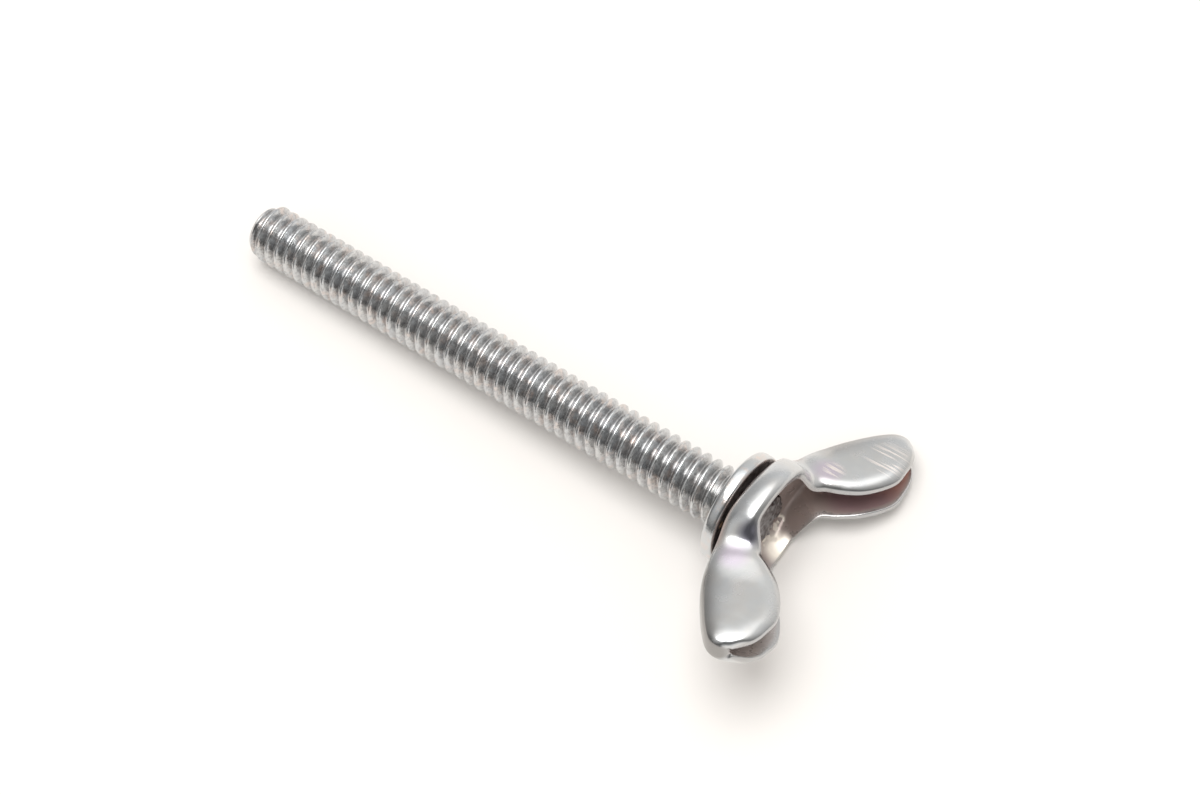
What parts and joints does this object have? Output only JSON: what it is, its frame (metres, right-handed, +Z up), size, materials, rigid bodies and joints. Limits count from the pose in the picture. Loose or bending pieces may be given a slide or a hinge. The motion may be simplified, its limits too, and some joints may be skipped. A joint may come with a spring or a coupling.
{
  "type": "wing screw",
  "caption": "Wing screw: a long threaded stud with a round flange, staked into a folded sheet-metal wing head that is turned by hand.",
  "frame": {"origin": "centre of the bounding box on the surface the screw lies on", "axes": "+X along the screw towards the wing head, +Y across it towards the wing that touches the surface, +Z up"},
  "size_m": [0.0728, 0.032, 0.0147],
  "materials": {
    "zinc_plate": "bright zinc plate over steel, satin on the pressed sheet, glossy on the rolled thread and flange"
  },
  "bodies": {
    "root": {"stud": "zinc_plate", "wing": "zinc_plate"}
  },
  "joints": []
}
